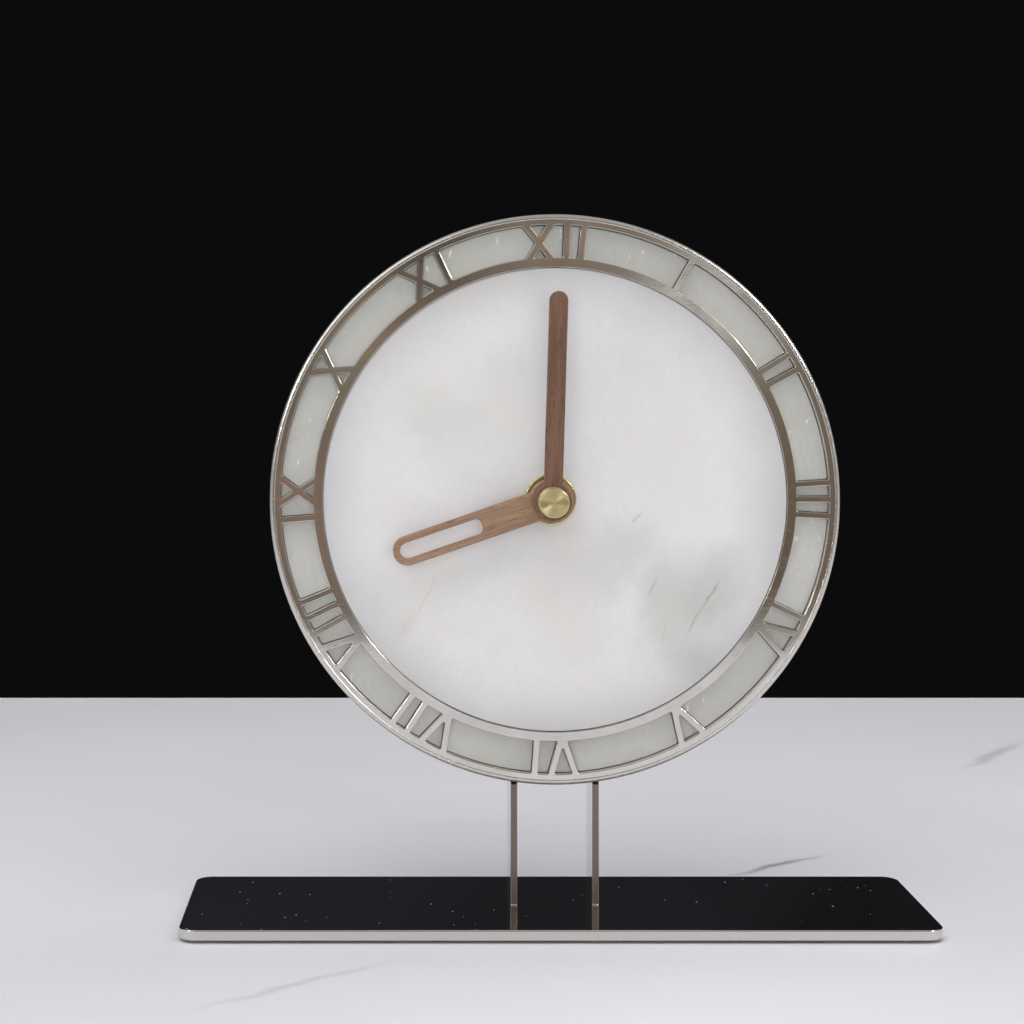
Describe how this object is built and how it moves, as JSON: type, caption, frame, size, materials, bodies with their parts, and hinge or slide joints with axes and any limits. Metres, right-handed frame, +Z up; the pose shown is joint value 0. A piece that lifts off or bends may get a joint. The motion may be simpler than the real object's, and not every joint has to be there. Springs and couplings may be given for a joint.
{
  "type": "mantel clock",
  "caption": "Round stone dial in a steel drum with a skeleton roman-numeral ring and walnut hands, on two flat posts and a long polished base plate.",
  "frame": {"origin": "centre of the underside of the foot pads, below the middle of the base plate", "axes": "+Z up; the dial faces -Y; +X runs along the base plate, to the right as seen from the front"},
  "size_m": [0.258, 0.07, 0.2469],
  "materials": {
    "polished_steel": "mirror-polished stainless steel, lightly scratched",
    "numeral_steel": "laser-cut stainless steel, hand-polished face with fine hairlines",
    "rim_steel": "polished stainless hoop with a rounded front edge",
    "dial_stone": "honed white marble with faint grey-green veins",
    "panel_stone": "honed grey-white marble with small white flecks",
    "hour_walnut": "walnut, sawn and oiled, open dark pores",
    "minute_walnut": "walnut, sawn and oiled, open dark pores",
    "nut_brass": "turned brass",
    "cap_brass": "turned brass, spun face",
    "bush_brass": "turned brass",
    "backing_board": "black painted sheet",
    "cover_board": "black powder-coated sheet",
    "pad_rubber": "black rubber",
    "washer_rubber": "black rubber",
    "case_plastic": "moulded black plastic",
    "wheel_plastic": "moulded white acetal",
    "knob_plastic": "moulded white plastic",
    "wheel_brass": "stamped and turned brass",
    "screw_steel": "zinc-plated steel",
    "motor_steel": "stamped soft iron",
    "rotor_magnet": "sintered magnet",
    "contact_steel": "nickel-plated spring steel",
    "crystal_can": "drawn metal can",
    "copper_wire": "enamelled copper wire",
    "circuit_board": "green solder mask",
    "chip_resin": "black resin blob",
    "battery_sleeve": "plain printed sleeve"
  },
  "bodies": {
    "clock_body": {"base_plate": "polished_steel", "post_left": "polished_steel", "post_right": "polished_steel", "rim_band": "rim_steel", "chapter_ring": "numeral_steel", "dial_disc": "dial_stone", "fixing_nut": "nut_brass", "backing_plate": "backing_board", "back_cover": "cover_board", "rubber_washer": "washer_rubber", "movement_front_case": "case_plastic", "movement_rear_cover": "case_plastic", "train_bridge": "case_plastic", "stator_plate": "motor_steel", "coil_core": "motor_steel", "coil_winding": "copper_wire", "circuit_board": "circuit_board", "driver_chip": "chip_resin", "quartz_crystal": "crystal_can", "battery": "battery_sleeve", "battery_contact_positive": "contact_steel", "battery_contact_negative": "contact_steel", "foot_pad_front_left": "pad_rubber", "foot_pad_front_right": "pad_rubber", "foot_pad_back_left": "pad_rubber", "foot_pad_back_right": "pad_rubber", "hour_panel_01": "panel_stone", "hour_panel_02": "panel_stone", "hour_panel_03": "panel_stone", "hour_panel_04": "panel_stone", "hour_panel_05": "panel_stone", "hour_panel_06": "panel_stone", "hour_panel_07": "panel_stone", "hour_panel_08": "panel_stone", "hour_panel_09": "panel_stone", "hour_panel_10": "panel_stone", "hour_panel_11": "panel_stone", "hour_panel_12": "panel_stone", "back_cover_screw_1": "screw_steel", "back_cover_screw_2": "screw_steel", "back_cover_screw_3": "screw_steel", "back_cover_screw_4": "screw_steel"},
    "minute_hand_body": {"minute_hand": "minute_walnut", "minute_hand_bush": "bush_brass", "centre_cap": "cap_brass", "centre_wheel": "wheel_brass"},
    "hour_hand_body": {"hour_hand": "hour_walnut", "hour_hand_bush": "bush_brass", "hour_wheel": "wheel_plastic"},
    "intermediate_body": {"intermediate_wheel": "wheel_plastic", "setting_knob": "knob_plastic"},
    "third_body": {"third_wheel": "wheel_plastic"},
    "fourth_body": {"fourth_wheel": "wheel_plastic"},
    "first_body": {"first_wheel": "wheel_plastic"},
    "rotor_body": {"rotor": "rotor_magnet"}
  },
  "joints": [
    {"name": "minute_turn", "type": "hinge", "parent": "clock_body", "child": "minute_hand_body", "pos_m": [-0.0016, 0, 0.1469], "axis": [0, 1, 0], "continuous": true},
    {"name": "hour_turn", "type": "hinge", "parent": "clock_body", "child": "hour_hand_body", "pos_m": [-0.0016, 0, 0.1469], "axis": [0, 1, 0], "continuous": true},
    {"name": "intermediate_turn", "type": "hinge", "parent": "clock_body", "child": "intermediate_body", "pos_m": [-0.01199, 0, 0.1529], "axis": [0, 1, 0], "continuous": true},
    {"name": "third_turn", "type": "hinge", "parent": "clock_body", "child": "third_body", "pos_m": [0.00775, 0, 0.1523], "axis": [0, 1, 0], "continuous": true},
    {"name": "fourth_turn", "type": "hinge", "parent": "clock_body", "child": "fourth_body", "pos_m": [0.00616, 0, 0.16134], "axis": [0, 1, 0], "continuous": true},
    {"name": "first_turn", "type": "hinge", "parent": "clock_body", "child": "first_body", "pos_m": [-0.00093, 0, 0.16259], "axis": [0, 1, 0], "continuous": true},
    {"name": "rotor_turn", "type": "hinge", "parent": "clock_body", "child": "rotor_body", "pos_m": [-0.00721, 0, 0.16204], "axis": [0, 1, 0], "continuous": true}
  ],
  "couplings": [
    {"joint": "hour_turn", "follows": "minute_turn", "ratio": 0.083333},
    {"joint": "intermediate_turn", "follows": "minute_turn", "ratio": -0.33333},
    {"joint": "third_turn", "follows": "minute_turn", "ratio": -8},
    {"joint": "fourth_turn", "follows": "minute_turn", "ratio": 60},
    {"joint": "first_turn", "follows": "minute_turn", "ratio": -300},
    {"joint": "rotor_turn", "follows": "minute_turn", "ratio": 1800}
  ]
}
